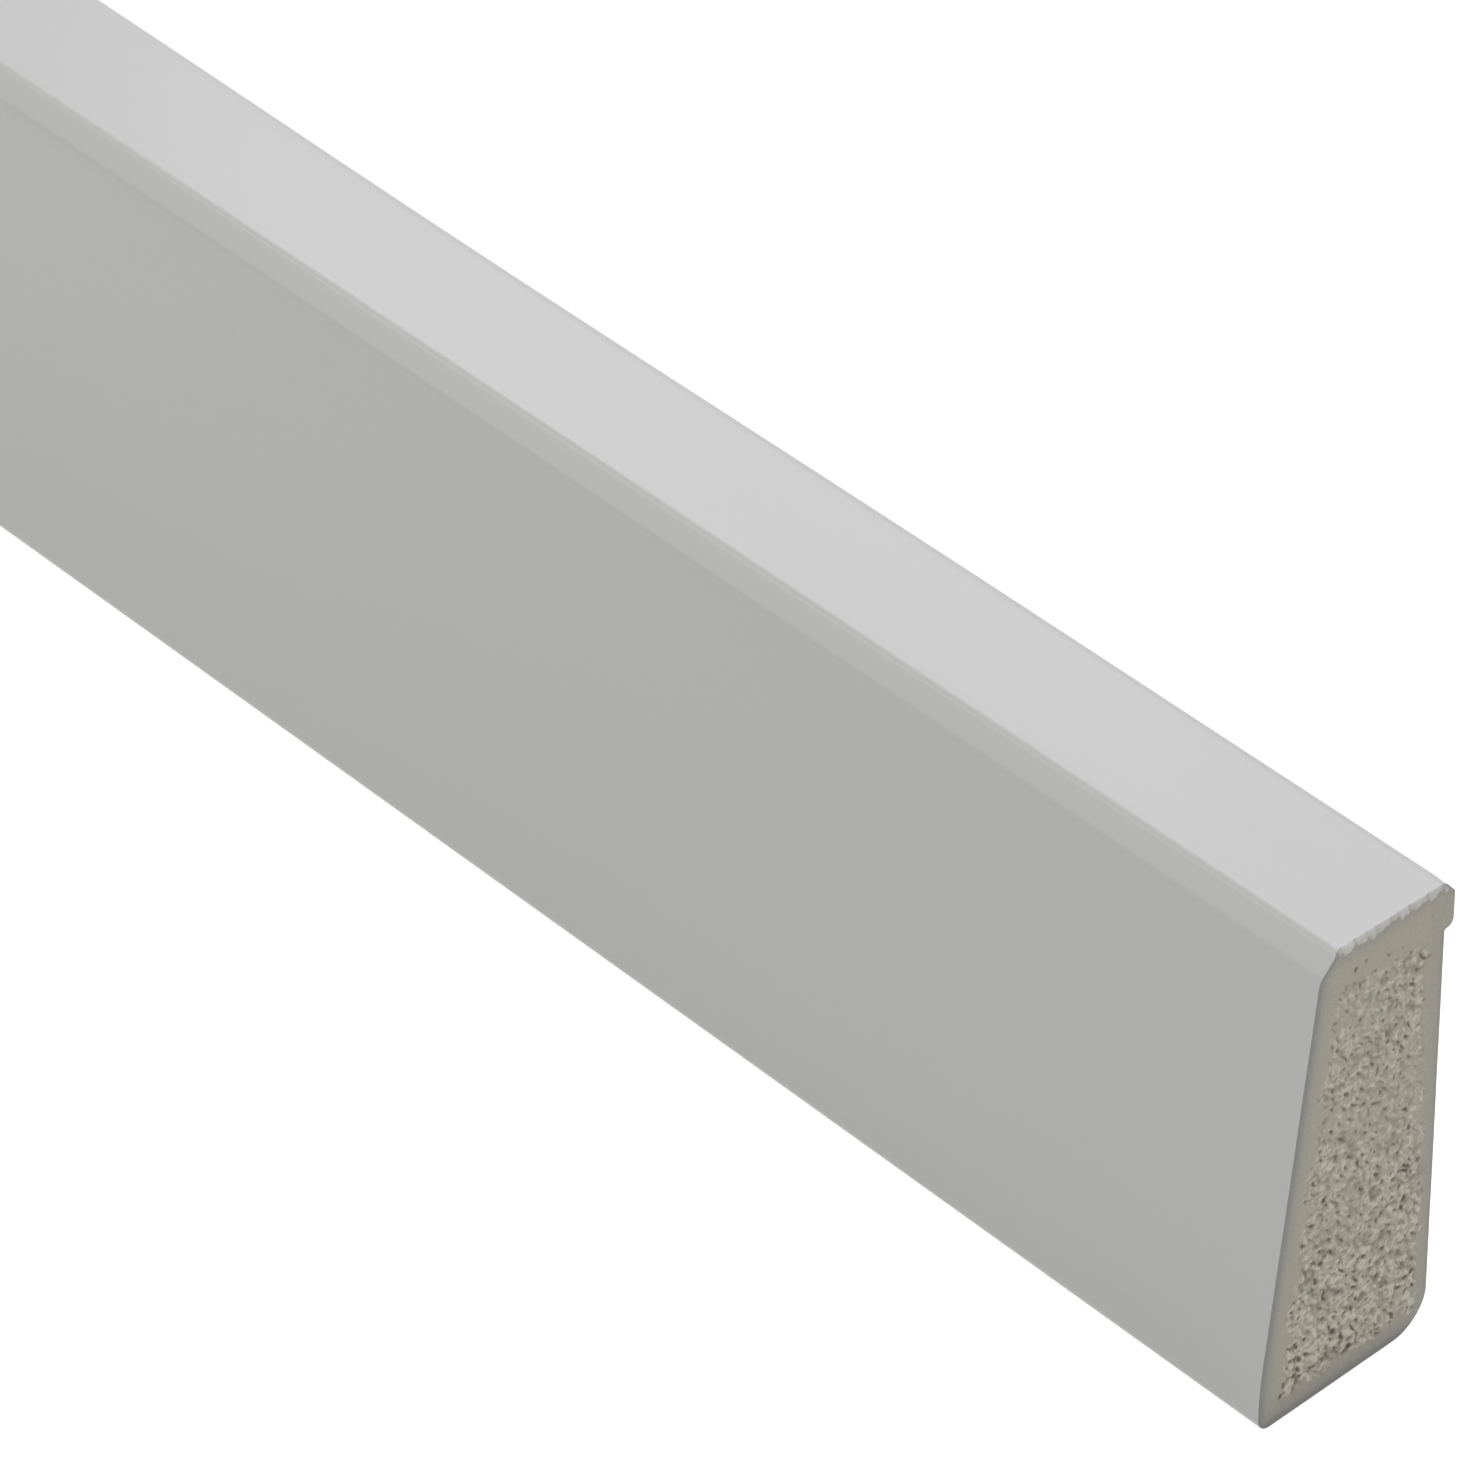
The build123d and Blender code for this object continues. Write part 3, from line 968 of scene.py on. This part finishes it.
def photo_camera(studio):
    """The camera at the photograph's angle. Its axes are right, up and back, turned by the roll."""
    data = bpy.data.cameras.new("photo_camera")
    data.sensor_width = SENSOR_WIDTH
    data.lens = studio.focal_px / IMAGE_SIDE * SENSOR_WIDTH
    data.clip_start, data.clip_end = CLIP_NEAR, CLIP_FAR
    camera = bpy.data.objects.new("photo_camera", data)
    bpy.context.scene.collection.objects.link(camera)
    level = math.cos(studio.elevation)
    back = Vector((
        math.sin(studio.azimuth) * level, -math.cos(studio.azimuth) * level, math.sin(studio.elevation)
    ))
    right = Vector((0, 0, 1)).cross(back).normalized()
    up = back.cross(right)
    axes = Matrix((right, up, back)).transposed() @ Matrix.Rotation(studio.roll, 3, "Z")
    place = Vector((CAD_HIGH.x + studio.distance_x, -studio.distance_y, studio.distance_z))
    camera.matrix_world = Matrix.Translation(place) @ axes.to_4x4()
    return camera


class SKIRTING_OT_make_stage(bpy.types.Operator):
    """Make the floor, the lights and the camera"""

    bl_idname = "skirting.make_stage"
    bl_label = "Make studio"

    def execute(self, context):
        scene = context.scene
        studio = scene.skirting_studio
        scene.view_settings.view_transform = "Standard"
        scene.world = studio_world(studio)

        floor = studio_floor(studio)
        scene.collection.objects.link(floor)

        cool, warm = studio.cool_tint, studio.warm_tint
        area_light("strip_light", (0.657, 0.575, 0.72), (0.6, 0.16), studio.strip_watts, cool, LIGHT_SIDE)
        area_light("back_light", (0.547, 0.72, 0.4), (0.8, 0.4), studio.back_watts, cool, LIGHT_SIDE)
        area_light("low_room_light", (0.52, -0.6, 0.66), (0.4, 0.4), studio.low_room_watts, warm)
        area_light("high_room_light", (0.5, -0.45, 0.8), (0.35, 0.35), studio.high_room_watts, warm)
        area_light("top_light", (1.1, 0.3, 0.8), (0.3, 0.3), studio.top_watts, cool)
        scene.camera = photo_camera(studio)
        return {"FINISHED"}


class SKIRTING_PT_panel(bpy.types.Panel):
    """The skirting board's sizes, finish and studio"""

    bl_idname = "SKIRTING_PT_panel"
    bl_label = "Skirting board"
    bl_space_type = "VIEW_3D"
    bl_region_type = "UI"
    bl_category = "Skirting"

    def draw(self, context):
        for title, (name, group) in GROUPS.items():
            box = self.layout.box()
            box.label(text=title)
            settings = getattr(context.scene, name)
            for setting in group.__annotations__:
                box.prop(settings, setting)
        for operator in (SKIRTING_OT_make_board, SKIRTING_OT_make_stage):
            self.layout.operator(operator.bl_idname)


GROUPS = {
    "Profile": ("skirting_profile", SkirtingProfile),
    "Sawn ends": ("skirting_sawn_end", SawnEnd),
    "Finish": ("skirting_finish", BoardFinish),
    "Studio": ("skirting_studio", Studio),
}
CLASSES = [group for _, group in GROUPS.values()]
CLASSES += [SKIRTING_OT_make_board, SKIRTING_OT_make_stage, SKIRTING_PT_panel]


def register():
    """Adds the classes and puts each group of settings on the scene."""
    for cls in CLASSES:
        bpy.utils.register_class(cls)
    for name, group in GROUPS.values():
        setattr(bpy.types.Scene, name, bpy.props.PointerProperty(type=group))


def unregister():
    """Takes the settings and the classes away again."""
    for name, _ in GROUPS.values():
        delattr(bpy.types.Scene, name)
    for cls in reversed(CLASSES):
        bpy.utils.unregister_class(cls)


def main():
    """Makes the board and its studio."""
    register()
    bpy.ops.skirting.make_board()
    bpy.ops.skirting.make_stage()


if __name__ == "__main__":
    main()
